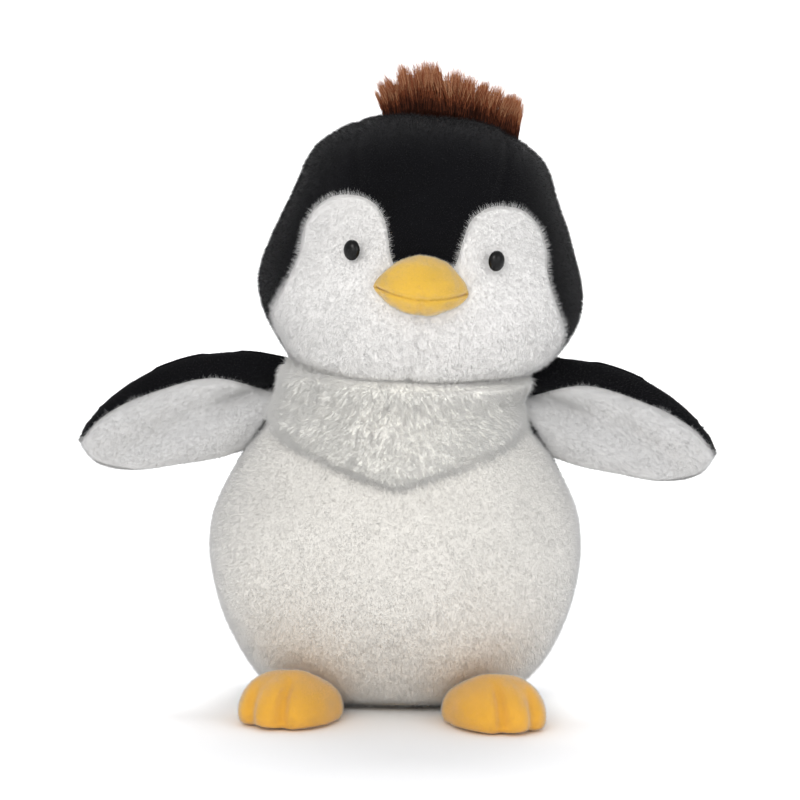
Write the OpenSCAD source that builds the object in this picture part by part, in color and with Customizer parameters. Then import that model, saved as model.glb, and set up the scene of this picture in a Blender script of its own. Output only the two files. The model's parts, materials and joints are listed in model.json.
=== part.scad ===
// Plush penguin: sewn fabric panels over stuffing, with soft joints at the neck, the wings and the feet.
// Millimetres. +Z is up, the front faces -Y, and the flat base rests on Z = 0.
// A name's left and right are those seen from the front: left is -X.

/* [Head] */
// Height of the top of the head, without the hair
head_top = 270; // [264:1:276]
// Width of the head across the cheeks
head_w = 149; // [144:1:154]
// Depth of the head from face to nape
head_d = 134; // [128:1:140]
// Height of the head's widest part
head_mid = 187; // [185:1:189]
// Angle that the head leans to the right
head_lean = 3; // [0:1:4]
// How far the head sits to the right of the body's middle
head_shift = 7; // [0:1:8]

/* [Body] */
// Width of the body at its widest
body_w = 170; // [164:1:176]
// Depth of the body from belly to back
body_d = 146; // [140:1:152]
// Height of the body's widest part
body_mid = 69; // [67:1:71]
// Height of the middle of the neck
neck_z = 152; // [150:1:154]
// Radius of the ball of stuffing in the neck
neck_r = 36; // [32:1:38]

/* [Beak and eyes] */
// Width of the beak
beak_w = 43; // [40:1:46]
// Height of the beak where it joins the face
beak_h = 26; // [23:1:28]
// How far the beak stands out from the face
beak_l = 19; // [16:1:22]
// Height of the mouth line
beak_z = 195; // [193:1:197]
// Diameter of each eye
eye_d = 8; // [7:0.5:9]
// Distance between the centres of the eyes
eye_gap = 62; // [59:1:65]
// Height of the eyes
eye_z = 208; // [206:1:210]

/* [Hair] */
// Width of the tuft of hair
hair_w = 66; // [58:1:68]
// How far the tuft sits to the right of the middle
hair_x = 7; // [3:1:9]
// Height that the hair stands above the head
hair_h = 24; // [18:1:28]
// Depth of the tuft from front to back
hair_d = 18; // [12:1:22]

/* [Wings] */
// Length of a wing's panels
wing_l = 71; // [64:1:76]
// Widest height of a wing
wing_w = 48; // [42:1:50]
// Thickness of a stuffed wing
wing_t = 15; // [12:1:18]
// Angle that the wings droop from level
wing_droop = 13; // [8:1:16]

/* [Feet] */
// Width of a foot across the toes
foot_w = 45; // [40:1:48]
// Length of a foot from heel to toe
foot_l = 48; // [44:1:50]
// Height of a foot at the toes
foot_h = 25; // [22:1:26]
// Distance between the middles of the feet
foot_gap = 82; // [78:1:88]
// Angle that each foot turns out
foot_turn = 10; // [4:1:14]

/* [Fabric] */
// Thickness of the plush fabric with its short pile
cloth = 2; // [1.6:0.2:2.4]
// Free space between soft pieces
gap = 0.6; // [0.5:0.1:0.8]

/* [Hidden] */

black = [0.03, 0.03, 0.035];
white = [0.93, 0.92, 0.90];
cream = [0.95, 0.93, 0.86];
yellow = [0.93, 0.66, 0.16];
brown = [0.34, 0.20, 0.12];
filling = [0.97, 0.97, 0.95];

// Roundness of every stuffed shape: 2 is an ellipse, and more is fuller
power = 2.2;
// How far the head and the body would reach below and above their middles if they had no neck
head_down = 43;
body_down = 80;
body_up = 90;
// The head's panels end at this height and the body's at the next, so that the neck has room to bend
head_edge = neck_z + 9;
body_edge = neck_z - 9;
// Height of the white patch over each eye
brow_z = 231.5;
// Room inside the panels for the faceted stuffing
slack = cloth + 1.6;
head_mid_point = [0, 0, head_mid];
body_mid_point = [0, 0, body_mid];
head_up = head_top - head_mid;
bag_top = 22;
// The middle of the soft joint at the root of the right wing
wing_root = [71, 0, neck_z - 18];
wing_root_r = 6;
heel_y = -47;

// ---- Rules for round shapes ----

// Half-size left, as a fraction, at a fraction t of the way to the end of a stuffed shape
function left(t) = pow(max(0, 1 - pow(abs(t), power)), 1 / power);
function round_cos(a) = sign(cos(a)) * pow(abs(cos(a)), 2 / power);
function round_sin(a) = sign(sin(a)) * pow(abs(sin(a)), 2 / power);
function mix(a, b, t) = a + (b - a) * t;
function steps(n) = [for (i = [0 : n]) i / n];
// A point moved towards a centre by a distance
function inset(p, centre, distance) = p + (centre - p) / norm(centre - p) * distance;
function inset_grid(grid, centre, distance) = [for (row = grid) [for (p = row) inset(p, centre, distance)]];

// ---- Rules for closed solids ----

// Two triangles for a four-sided face, which need not be flat
function halves(q) = [[q[0], q[1], q[2]], [q[0], q[2], q[3]]];

// A closed solid between two matching grids of points.
// Seen from outside, rows run upwards and columns run to the right.
module panel(outer, inner) {
    rows = len(outer);
    cols = len(outer[0]);
    function o(r, c) = r * cols + c;
    function i(r, c) = (rows + r) * cols + c;
    last_r = rows - 1;
    last_c = cols - 1;
    sheets = [for (r = [0 : rows - 2]) for (c = [0 : cols - 2])
        each [[o(r, c), o(r + 1, c), o(r + 1, c + 1), o(r, c + 1)],
              [i(r, c), i(r, c + 1), i(r + 1, c + 1), i(r + 1, c)]]];
    ends = [for (c = [0 : cols - 2])
        each [[o(0, c), o(0, c + 1), i(0, c + 1), i(0, c)],
              [o(last_r, c + 1), o(last_r, c), i(last_r, c), i(last_r, c + 1)]]];
    sides = [for (r = [0 : rows - 2])
        each [[o(r + 1, 0), o(r, 0), i(r, 0), i(r + 1, 0)],
              [o(r, last_c), o(r + 1, last_c), i(r + 1, last_c), i(r, last_c)]]];
    points = [for (row = concat(outer, inner)) each row];
    polyhedron(points, [for (q = concat(sheets, ends, sides)) each halves(q)], convexity = 6);
}

// Side faces of a stack of closed rings, which start at point number first
function ring_sides(rings, first) = let (cols = len(rings[0]))
    [for (r = [0 : len(rings) - 2]) for (c = [0 : cols - 1])
        let (a = first + r * cols, b = a + cols, next = (c + 1) % cols)
        [a + c, b + c, b + next, a + next]];
function up(first, count) = [for (c = [0 : count - 1]) first + c];
function down(first, count) = [for (c = [count - 1 : -1 : 0]) first + c];

// A closed solid through a stack of rings. Each ring runs to the right, seen from outside.
module loft(rings) {
    cols = len(rings[0]);
    top = (len(rings) - 1) * cols;
    faces = [for (q = ring_sides(rings, 0)) each halves(q)];
    polyhedron([for (ring = rings) each ring], concat(faces, [up(0, cols), down(top, cols)]), convexity = 6);
}

// An open-bottomed cap between an outer and an inner stack of rings of the same sizes
module cap(outer, inner) {
    rows = len(outer);
    cols = len(outer[0]);
    first = rows * cols;
    skin = ring_sides(outer, 0);
    lining = [for (q = ring_sides(inner, first)) [q[3], q[2], q[1], q[0]]];
    hem = [for (c = [0 : cols - 1]) let (next = (c + 1) % cols) [c, next, first + next, first + c]];
    lids = [down(first - cols, cols), up(2 * first - cols, cols)];
    points = [for (row = concat(outer, inner)) each row];
    polyhedron(points, concat([for (q = concat(skin, lining, hem)) each halves(q)], lids), convexity = 6);
}

// The left-hand twin of a right-hand piece
module mirrored() mirror([1, 0, 0]) children();
// Puts a piece of an upright, centred head where the head really sits on its soft neck
module on_neck() translate([head_shift, 0, neck_z]) rotate([0, head_lean, 0]) translate([0, 0, -neck_z]) children();

// ---- Head ----

function head_reach(dz) = dz > 0 ? head_up : head_down;
// The point of the face at a place x across and a height z
function face_point(x, z) = let (dz = z - head_mid, deep = 1 - pow(abs(x) / (head_w / 2), power)
        - pow(abs(dz) / head_reach(dz), power))
    [x, -head_d / 2 * pow(max(0, deep), 1 / power), z];
// The point over the head at a place x across and an angle a up from the front
function over_point(x, a) = let (k = left(x / (head_w / 2)))
    [x, -k * head_d / 2 * round_cos(a), head_mid + k * head_reach(sin(a)) * round_sin(a)];
// The point of the head in a direction from its middle
function out_point(d) = let (r = pow(pow(abs(d[0]) / (head_w / 2), power) + pow(abs(d[1]) / (head_d / 2), power)
        + pow(abs(d[2]) / head_reach(d[2]), power), -1 / power))
    head_mid_point + d * r;

// Half-width of the black peak between the white patches, by height: it narrows to a point behind the beak
function peak_x(z) = lookup(z, [[197, 0], [206, 14.5], [226, 19.5], [brow_z, 31]]);
// Outer edge of the white face, by height
function cheek_x(z) = lookup(z, [[head_edge, 60], [171, 65], [179, 66], [187, 62.5], [205, 55.5], [214, 55],
                                 [223, 51.5], [brow_z, 37]]);
// Half-width of the crown panel by angle, from the brow over the top to the nape
brow_angle = 33;
nape_angle = 216;
function crown_x(a) = lookup(a, [[brow_angle, 31], [60, 34], [90, 34], [130, 30], [180, 24], [nape_angle, 20]]);

// Neighbouring panels share these rows, so that their sewn edges meet point for point
peak_z = 199;
peak_heights = [for (t = steps(6)) mix(peak_z, brow_z, t)];
face_heights = concat([for (t = steps(8)) if (t < 1) mix(head_edge, peak_z, t)], peak_heights);
last_row = len(face_heights) - 1;
crown_angles = [for (t = steps(last_row)) mix(nape_angle, brow_angle, t)];

function face_grid() = [for (z = face_heights)
    [for (v = steps(6)) face_point(mix(peak_x(z), cheek_x(z), v), z)]];
function crown_grid() = concat(
    [for (z = peak_heights) [for (v = steps(8)) face_point(peak_x(z) * mix(-1, 1, v), z)]],
    [for (i = [last_row - 1 : -1 : 0]) let (a = crown_angles[i])
        [for (v = steps(8)) over_point(crown_x(a) * mix(-1, 1, v), a)]]);
function side_grid() = [for (i = [0 : last_row]) let (z = face_heights[i], a = crown_angles[i])
    let (front = face_point(cheek_x(z), z) - head_mid_point)
    let (rear = (i == last_row ? face_point(peak_x(z), z) : over_point(crown_x(a), a)) - head_mid_point)
    [for (v = steps(10)) out_point(mix(front / norm(front), rear / norm(rear), v))]];

module head_shell(grid) panel(grid, inset_grid(grid, head_mid_point, cloth));

module side_panel() head_shell(side_grid());
module crown_panel() color(black) on_neck() head_shell(crown_grid());
module head_side_right() color(black) on_neck() side_panel();
module head_side_left() color(black) on_neck() mirrored() side_panel();

// Puts a piece on the right eye's axis, with its +Z pointing out of the face
module at_eye() {
    p = face_point(eye_gap / 2, eye_z);
    translate(p) rotate([0, 0, 21]) rotate([81, 0, 0]) children();
}

stem_r = 1.5;
stem_l = 12;
washer_r = 6;
washer_t = 1.6;

module face_panel() difference() {
    head_shell(face_grid());
    at_eye() translate([0, 0, -6]) cylinder(h = 12, r = stem_r + 0.3, $fn = 24);
}
module face_right() color(white) on_neck() face_panel();
module face_left() color(white) on_neck() mirrored() face_panel();

// A domed eye with the stem that goes through the fabric
module eye() at_eye() translate([0, 0, 0.5]) rotate_extrude($fn = 48)
    polygon(concat([[0, -stem_l], [stem_r, -stem_l], [stem_r, 0]],
        [for (a = [0 : 10 : 90]) [eye_d / 2 * cos(a), 0.6 + eye_d * 0.42 * sin(a)]]));
module eye_right() color(black) on_neck() eye();
module eye_left() color(black) on_neck() mirrored() eye();

// The locking washer, pushed along the stem against the inside of the fabric
module washer() at_eye() translate([0, 0, -cloth - 2.6]) difference() {
    cylinder(h = washer_t, r = washer_r, $fn = 36);
    translate([0, 0, -1]) cylinder(h = washer_t + 2, r = stem_r + 0.05, $fn = 24);
}
module eye_washer_right() color("silver") on_neck() washer();
module eye_washer_left() color("silver") on_neck() mirrored() washer();

// A ring of the head's stuffing at a height, inside the panels
function head_ring(z) = let (dz = z - head_mid, k = left(dz / (head_reach(dz) - slack)))
    [for (a = [0 : 15 : 345]) [k * (head_w / 2 - slack) * round_sin(a), -k * (head_d / 2 - slack) * round_cos(a), z]];

module eye_pocket() at_eye() translate([0, 0, -stem_l - 1]) cylinder(h = stem_l + 4, r = washer_r + gap, $fn = 36);

module head_stuffing() color(filling) difference() {
    on_neck() loft([for (t = steps(14)) head_ring(mix(head_edge, head_top - slack - 1, t))]);
    translate([0, 0, neck_z]) sphere(r = neck_r + gap, $fn = 60);
    on_neck() eye_pocket();
    on_neck() mirrored() eye_pocket();
}

// ---- Beak ----

beak_back = -head_d / 2 - gap;
beak_cloth = 1.5;
// A point of the beak: u runs across from -1 to 1, a runs from the mouth line, and small shrinks the whole
function beak_point(u, a, small) = let (k = pow(max(0, 1 - pow(abs(u), 1.7)), 0.8))
    [u * (beak_w / 2 - small), beak_back - k * (beak_l - small) * cos(a), beak_z + k * (beak_h / 2 - small) * sin(a)];
// One half of the beak's cover, between two angles from the mouth line
module beak_half(from, to) {
    u_end = 0.95;
    columns = [for (v = steps(14)) mix(-u_end, u_end, v)];
    panel([for (t = steps(6)) [for (u = columns) beak_point(u, mix(from, to, t), 0)]],
          [for (t = steps(6)) [for (u = columns) beak_point(u, mix(from, to, t), beak_cloth)]]);
}
module beak_upper() color(yellow) on_neck() beak_half(0, 90);
module beak_lower() color(yellow) on_neck() beak_half(-90, 0);
module beak_stuffing() color(filling) on_neck() rotate([0, 90, 0]) loft([for (v = steps(10))
    [for (a = [90 : -15 : -90]) let (p = beak_point(mix(-0.85, 0.85, v), a, beak_cloth + 0.5))
        [beak_z - p[2], p[1], p[0]] + [-beak_z, 0, 0]]]);

// ---- Hair ----

// The tuft is a fan of long pile whose foot follows the top of the head
hair_rows = 12;
function hair_ring(t) = let (x = mix(-0.96, 0.96, t), foot = over_point(hair_x + x * hair_w / 2, 90)[2] + gap)
    let (deep = hair_d / 2 * sqrt(1 - x * x), high = hair_h * (0.5 + 0.5 * pow(1 - x * x, 0.35)))
    [for (p = [[1, 0], [0.8, 0.6], [0.3, 1], [-0.3, 1], [-0.8, 0.6], [-1, 0]])
        [hair_x + x * hair_w / 2, p[0] * deep, foot + p[1] * high]];
module hair_tuft() color(brown) on_neck() rotate([0, 90, 0]) loft([for (t = steps(hair_rows))
    [for (p = hair_ring(t)) [-p[2], p[1], p[0]]]]);

// ---- Neck ----

module neck_stuffing() color(filling) translate([0, 0, neck_z]) sphere(r = neck_r, $fn = 60);

// ---- Body ----

function body_left(z) = let (dz = z - body_mid) left(dz / (dz > 0 ? body_up : body_down));
// The point of the body's surface at an angle round from the front and a height, moved in by small
function body_point(a, z, small = 0) = let (k = body_left(z))
    [(k * body_w / 2 - small) * round_sin(a), -(k * body_d / 2 - small) * round_cos(a), z];
// Angle of the seam between the belly and the back, by height: it comes forward at the shoulders
function seam_angle(z) = lookup(z, [[0, 98], [98, 96], [114, 86], [128, 72], [body_edge, 62]]);
base_t = 2;
panel_foot = base_t + 0.4;

module body_shell(grid) panel(grid, inset_grid(grid, body_mid_point, cloth));

module belly_panel() color(white) body_shell([for (t = steps(12)) let (z = mix(panel_foot, body_edge, t))
    [for (v = steps(14)) body_point(mix(-1, 1, v) * seam_angle(z), z)]]);
module back_right() color(black) body_shell([for (t = steps(12)) let (z = mix(panel_foot, body_edge, t))
    [for (v = steps(8)) body_point(mix(seam_angle(z), 180, v), z)]]);
module back_left() color(black) mirrored() back_right();

function body_ring(z, small) = [for (a = [0 : 12 : 348]) body_point(a, z, small)];

module base_panel() color(black) linear_extrude(base_t)
    polygon([for (p = body_ring(panel_foot, 0)) [p[0], p[1]]]);
// The bag keeps clear of the panels where they turn in under the body
bag_drop = 4;
module pellet_bag() color("tan") loft([for (t = steps(5)) let (z = mix(base_t + gap, bag_top, t))
    [for (p = body_ring(z - bag_drop, slack)) [p[0], p[1], z]]]);
module body_stuffing() color(filling) difference() {
    loft([for (t = steps(12)) body_ring(mix(bag_top + gap, body_edge - 2, t), slack)]);
    translate([0, 0, neck_z]) sphere(r = neck_r + gap, $fn = 60);
}

// The long-pile bib under the chin. Its lower edge is a V with the point on the middle line.
ruff_t = 5;
ruff_angle = 60;
ruff_tip = 108;
module chest_ruff() {
    function low(v) = mix(ruff_tip, body_edge - 12, abs(v));
    grid = [for (t = steps(8)) [for (w = steps(14)) let (v = mix(-1, 1, w))
        body_point(v * ruff_angle, mix(low(v), body_edge, t))]];
    color(cream) panel(inset_grid(grid, body_mid_point, -ruff_t - gap), inset_grid(grid, body_mid_point, -gap));
}

// A blank satin care label, sewn into the centre back seam
label_w = 18;
label_l = 26;
label_t = 0.6;
label_top = 50;
module care_label() color("white") translate([-label_w / 2, body_d / 2 + gap, label_top - label_l])
    cube([label_w, label_t, label_l]);

// ---- Wings ----

// Half-height of a wing at a fraction along it: narrow at its gathered root and round at its tip
function wing_half(u) = wing_w / 2 * pow(1 - pow(u, 2.6), 0.62) * mix(0.3, 1, sin(min(1, u / 0.45) * 90));
// A point of a wing's surface: a is 0 on the upper edge, 90 in front, 180 on the lower edge
function wing_point(u, a, small) = let (half = wing_half(u), thick = wing_t / 2 * pow(half / (wing_w / 2), 0.6))
    [u * wing_l, -(thick - small) * sin(a), (half - small) * cos(a)];
wing_end = 0.985;
// The back panel wraps over the upper edge on to the front as far as this angle
wing_wrap = 52;

// Puts a piece at the right wing's root, with its +X along the wing
module at_wing() translate(wing_root) rotate([0, wing_droop, 0]) translate([wing_root_r + gap, 0, 0]) children();
module wing_shell(from, to, rows) {
    columns = [for (v = steps(12)) mix(0, wing_end, v)];
    at_wing() panel([for (t = steps(rows)) [for (u = columns) wing_point(u, mix(from, to, t), 0)]],
                    [for (t = steps(rows)) [for (u = columns) wing_point(u, mix(from, to, t), cloth * 0.7)]]);
}
module wing_right_front() color(white) wing_shell(180, wing_wrap, 7);
module wing_right_back() color(black) wing_shell(wing_wrap, -180, 12);
module wing_right_stuffing() color(filling) at_wing() rotate([0, 90, 0]) loft([for (v = steps(10))
    [for (a = [345 : -15 : 0]) let (p = wing_point(mix(0.06, 0.93, v), a, cloth * 0.7 + 0.7)) [-p[2], p[1], p[0]]]]);
module wing_right_root() color(black) translate(wing_root) sphere(r = wing_root_r, $fn = 36);
module wing_left_front() color(white) mirrored() wing_right_front();
module wing_left_back() color(black) mirrored() wing_right_back();
module wing_left_stuffing() color(filling) mirrored() wing_right_stuffing();
module wing_left_root() color(black) mirrored() wing_right_root();

// ---- Feet ----

// A point of a foot's outline: a is 0 at the right and -90 at the toes, which are three lobes
function foot_edge(a, small) = let (toes = max(0, -sin(a)), lobe = 1 + 0.06 * toes * cos(4 * (a + 90)))
    [(foot_w / 2 - small) * lobe * round_cos(a), (foot_l / 2 - small) * lobe * round_sin(a)];
// Height of the foot's top by place along it: low at the heel, which goes under the belly
function foot_rise(y) = foot_h * lookup(y / foot_l, [[-0.5, 0.95], [-0.1, 1], [0.5, 0.3]]);
sole_t = 2;
// A ring of the foot's upper at a fraction of its height, moved in by small
function foot_ring(t, small) = [for (a = [0 : 12 : 348]) let (p = foot_edge(a, small) * left(t))
    [p[0], p[1], sole_t + gap + t * (foot_rise(p[1]) - sole_t - gap - small)]];

module at_foot() translate([foot_gap / 2, heel_y, 0]) rotate([0, 0, foot_turn]) translate([0, -foot_l / 2, 0]) children();
foot_levels = [0, 0.25, 0.5, 0.7, 0.85, 0.95];
module foot_right_top() color(yellow) at_foot() cap([for (t = foot_levels) foot_ring(t, 0)],
                                                   [for (t = foot_levels) foot_ring(t, cloth * 0.7)]);
module foot_right_sole() color(yellow) at_foot() linear_extrude(sole_t)
    polygon([for (a = [0 : 12 : 348]) foot_edge(a, 0)]);
module foot_right_stuffing() color(filling) at_foot() loft([for (t = foot_levels) foot_ring(t, cloth * 0.7 + gap)]);
module foot_left_top() color(yellow) mirrored() foot_right_top();
module foot_left_sole() color(yellow) mirrored() foot_right_sole();
module foot_left_stuffing() color(filling) mirrored() foot_right_stuffing();

// ---- What is drawn ----

crown_panel();
head_side_left();
head_side_right();
face_left();
face_right();
head_stuffing();
beak_upper();
beak_lower();
beak_stuffing();
eye_left();
eye_right();
eye_washer_left();
eye_washer_right();
hair_tuft();
neck_stuffing();
belly_panel();
back_left();
back_right();
base_panel();
body_stuffing();
pellet_bag();
chest_ruff();
care_label();
wing_left_root();
wing_left_front();
wing_left_back();
wing_left_stuffing();
wing_right_root();
wing_right_front();
wing_right_back();
wing_right_stuffing();
foot_left_top();
foot_left_sole();
foot_left_stuffing();
foot_right_top();
foot_right_sole();
foot_right_stuffing();
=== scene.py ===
"""A plush penguin: black and white plush with a real mesh pile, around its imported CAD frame."""
import json
import math

import bpy
import numpy as np
from mathutils import Matrix, Vector, noise


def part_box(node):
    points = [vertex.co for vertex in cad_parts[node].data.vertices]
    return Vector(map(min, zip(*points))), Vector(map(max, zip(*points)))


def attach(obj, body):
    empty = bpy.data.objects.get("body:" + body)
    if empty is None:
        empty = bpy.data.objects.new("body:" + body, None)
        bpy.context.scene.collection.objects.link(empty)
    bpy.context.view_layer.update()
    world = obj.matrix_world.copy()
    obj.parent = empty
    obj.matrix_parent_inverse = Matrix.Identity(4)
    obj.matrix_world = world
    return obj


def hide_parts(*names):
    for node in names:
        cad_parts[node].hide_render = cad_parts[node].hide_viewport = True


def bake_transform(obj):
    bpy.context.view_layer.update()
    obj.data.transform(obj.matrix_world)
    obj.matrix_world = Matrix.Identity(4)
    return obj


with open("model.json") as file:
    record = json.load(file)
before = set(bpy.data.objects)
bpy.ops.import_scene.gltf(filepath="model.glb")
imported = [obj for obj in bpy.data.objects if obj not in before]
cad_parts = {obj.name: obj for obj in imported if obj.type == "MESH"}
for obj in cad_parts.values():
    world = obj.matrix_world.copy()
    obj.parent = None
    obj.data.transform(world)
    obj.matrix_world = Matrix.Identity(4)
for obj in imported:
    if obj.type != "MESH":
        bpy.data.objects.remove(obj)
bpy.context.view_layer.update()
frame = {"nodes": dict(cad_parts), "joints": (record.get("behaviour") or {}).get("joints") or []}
MM = 0.001
SEED = 11


# ---- Places, in millimetres, from the frame ----

def span(*nodes):
    """The lowest and highest corners of some nodes together."""
    boxes = [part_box(node) for node in nodes]
    low = np.min([np.array(box[0]) for box in boxes], axis=0) / MM
    high = np.max([np.array(box[1]) for box in boxes], axis=0) / MM
    return low, high


def joint_place(name):
    """Where a joint's axis passes."""
    return np.array(next(j["pos_m"] for j in frame["joints"] if j["name"] == name)) / MM


HEAD_LOW, HEAD_HIGH = span("crown_panel", "head_side_left", "head_side_right")
BODY_HIGH = span("belly_panel", "back_left", "back_right")[1]
BEAK_LOW, BEAK_HIGH = span("beak_upper", "beak_lower")
FOOT_LOW, FOOT_HIGH = span("foot_right_sole", "foot_right_top")
HAIR_LOW, HAIR_HIGH = span("hair_tuft")
LABEL_LOW, LABEL_HIGH = span("care_label")
NECK_Z = joint_place("head_nod")[2]
HEAD_HALF_W = (HEAD_HIGH[0] - HEAD_LOW[0]) / 2
HEAD_HALF_D, HEAD_TOP = HEAD_HIGH[1:]
HEAD_MID = NECK_Z + 35
BODY_HALF_W, BODY_HALF_D = BODY_HIGH[:2]
# The head leans and sits aside, so its places are worked out upright and then moved by sit()
LEFT_EYE, RIGHT_EYE = (np.mean(span(node), axis=0) for node in ("eye_left", "eye_right"))
EYE_ROW = RIGHT_EYE - LEFT_EYE
EYE_MIDDLE = (LEFT_EYE + RIGHT_EYE) / 2
EYE_FRONT = span("eye_right")[0][1]
HEAD_LEAN = math.atan2(-EYE_ROW[2], EYE_ROW[0])
HEAD_SHIFT = EYE_MIDDLE[0] - (EYE_MIDDLE[2] - NECK_Z) * math.tan(HEAD_LEAN)
EYE_X = np.linalg.norm(EYE_ROW) / 2 + 1.5
EYE_Z = EYE_MIDDLE[2] + 0.5
# How far the pile stands out of the skins, which are made that much smaller
PILE = 0.6


def add_object(name, data):
    obj = bpy.data.objects.new(name, data)
    bpy.context.scene.collection.objects.link(obj)
    return obj


def set_inputs(node, **values):
    """Sets a node's inputs, with _ for each space in their names."""
    for name, value in values.items():
        node.inputs[name.replace("_", " ")].default_value = value


def set_shader(material, **values):
    set_inputs(material.node_tree.nodes["Principled BSDF"], **values)


# ---- Camera, light and floor ----

def add_camera():
    """The photograph's view: from the front and a little above, rolled slightly."""
    data = bpy.data.cameras.new("camera")
    data.lens = 150
    camera = add_object("camera", data)
    elevation = math.radians(5)
    distance = 1.54
    target = Vector((0.0006, 0, 0.1389))
    away = Vector((0, -math.cos(elevation), math.sin(elevation)))
    camera.location = target + away * distance
    look = (-away).to_track_quat("-Z", "Y")
    lean = math.radians(1.2)
    camera.rotation_euler = (look.to_matrix() @ Matrix.Rotation(lean, 3, "Z")).to_euler()
    bpy.context.scene.camera = camera


def add_area(name, place, aim, size, power, tint):
    data = bpy.data.lights.new(name, "AREA")
    data.shape = "DISK"
    data.size = size
    data.energy = power
    data.color = tint
    lamp = add_object(name, data)
    lamp.location = place
    lamp.rotation_euler = (Vector(aim) - Vector(place)).to_track_quat("-Z", "Y").to_euler()


def add_light():
    scene = bpy.context.scene
    scene.view_settings.view_transform = "Standard"
    world = bpy.data.worlds.new("studio")
    scene.world = world
    world.use_nodes = True
    set_inputs(world.node_tree.nodes["Background"], Color=(0.96, 0.97, 1.0, 1), Strength=0.68)
    add_area("key", (-0.5, -1.8, 0.95), (0, 0, 0.12), 0.9, 11.5, (1.0, 0.985, 0.96))
    add_area("fill", (1.2, -1.4, 0.4), (0, 0, 0.10), 1.2, 5, (0.98, 0.985, 1.0))
    add_area("low", (-0.1, -1.6, 0.14), (0, 0, 0.04), 0.9, 3, (0.98, 0.985, 1.0))
    add_area("rim", (0.2, 1.3, 1.2), (0, 0, 0.2), 0.9, 9, (1.0, 1.0, 1.0))
    add_area("backdrop", (0, 0.9, 1.9), (0, 2.0, 0.7), 1.2, 30, (1.0, 1.0, 1.0))


def add_floor():
    """A pale sheet that curves up behind the toy."""
    flat_end, radius = 1.2, 0.8
    curve = [(flat_end + radius * math.sin(a), radius - radius * math.cos(a))
             for a in np.linspace(0, math.pi / 2, 15)]
    profile = [(-3.0, 0.0), *curve, (flat_end + radius, 3.0)]
    verts = [(x, y, z) for y, z in profile for x in (-4, 4)]
    faces = [(2 * i, 2 * i + 1, 2 * i + 3, 2 * i + 2) for i in range(len(profile) - 1)]
    mesh = bpy.data.meshes.new("floor")
    mesh.from_pydata(verts, [], faces)
    mesh.shade_smooth()
    material = bpy.data.materials.new("floor")
    material.use_nodes = True
    set_shader(material, Base_Color=(0.98, 0.98, 0.98, 1), Roughness=0.9)
    mesh.materials.append(material)
    add_object("floor", mesh)


# ---- Materials ----

def add_noise(tree, scale, detail):
    """A noise pattern fixed to the object, and its output."""
    place = tree.nodes.new("ShaderNodeTexCoord")
    pattern = tree.nodes.new("ShaderNodeTexNoise")
    set_inputs(pattern, Scale=scale, Detail=detail)
    tree.links.new(place.outputs["Object"], pattern.inputs["Vector"])
    return pattern.outputs["Fac"]


def add_relief(tree, height, strength, distance):
    relief = tree.nodes.new("ShaderNodeBump")
    set_inputs(relief, Strength=strength, Distance=distance)
    tree.links.new(height, relief.inputs["Height"])
    tree.links.new(relief.outputs["Normal"], tree.nodes["Principled BSDF"].inputs["Normal"])


def add_mottle(tree, colour, spread, scale):
    """Colour that varies a little over the surface."""
    ramp = tree.nodes.new("ShaderNodeValToRGB")
    low, high = ramp.color_ramp.elements
    low.position, high.position = 0.3, 0.7
    low.color = (*[c * (1 - spread) for c in colour], 1)
    high.color = (*[min(1.0, c * (1 + spread * 0.6)) for c in colour], 1)
    tree.links.new(add_noise(tree, scale, 6.0), ramp.inputs["Fac"])
    tree.links.new(ramp.outputs["Color"], tree.nodes["Principled BSDF"].inputs["Base Color"])


def new_material(name, roughness, specular, sheen=0.0):
    material = bpy.data.materials.new(name)
    material.use_nodes = True
    set_shader(material, Roughness=roughness, Specular_IOR_Level=specular, Sheen_Weight=sheen,
               Sheen_Roughness=0.5)
    return material


def knit_material(name, colour, spread, sheen):
    """The backing under a pile: a mottled colour and a fine bumpy knit."""
    material = new_material(name, 0.95, 0.1, sheen)
    add_mottle(material.node_tree, colour, spread, 22.0)
    add_relief(material.node_tree, add_noise(material.node_tree, 840.0, 4.0), 0.35, 0.0006)
    return material


def fibre_material(name, colour, roughness, sheen, glow=0.0):
    """One tint of fibre. Its values are constants on the shader, so they survive the export."""
    material = new_material(name, roughness, 0.15, sheen)
    set_shader(material, Base_Color=(*colour, 1), Subsurface_Weight=glow,
               Subsurface_Radius=(1.0, 1.0, 1.0), Subsurface_Scale=0.001)
    return material


def plastic_material(name, colour, roughness, coat):
    material = new_material(name, roughness, 0.2)
    set_shader(material, Base_Color=(*colour, 1), Coat_Weight=coat, Coat_Roughness=0.1)
    add_relief(material.node_tree, add_noise(material.node_tree, 260.0, 2.0), 0.15, 0.0004)
    return material


def woven_material(name, colour, threads, roughness, sheen):
    """A plain weave, from two crossing sets of bands."""
    material = new_material(name, roughness, 0.35, sheen)
    tree = material.node_tree
    add_mottle(tree, colour, 0.06, 60.0)
    place = tree.nodes.new("ShaderNodeTexCoord")
    both = tree.nodes.new("ShaderNodeMath")
    both.operation = "ADD"
    for number, direction in enumerate(("X", "Z")):
        bands = tree.nodes.new("ShaderNodeTexWave")
        bands.bands_direction = direction
        set_inputs(bands, Scale=threads)
        tree.links.new(place.outputs["Object"], bands.inputs["Vector"])
        tree.links.new(bands.outputs["Fac"], both.inputs[number])
    add_relief(tree, both.outputs["Value"], 0.5, 0.0002)
    return material


WHITE = (0.86, 0.845, 0.82)
IVORY = (0.79, 0.765, 0.71)
# The wings' front plush is a white painted grey: painted shade where the front panels turn from the
# light
SHADED_WHITE = (0.62, 0.615, 0.605)
CREAM = (0.97, 0.95, 0.88)
BLACK = (0.0035, 0.0035, 0.0045)
ORANGE = (0.80, 0.41, 0.05)
GOLD = (0.74, 0.45, 0.06)
COLOURS = {"white": WHITE, "ivory": IVORY, "silver": SHADED_WHITE, "cream": CREAM, "black": BLACK,
           "orange": ORANGE, "gold": GOLD}
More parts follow.
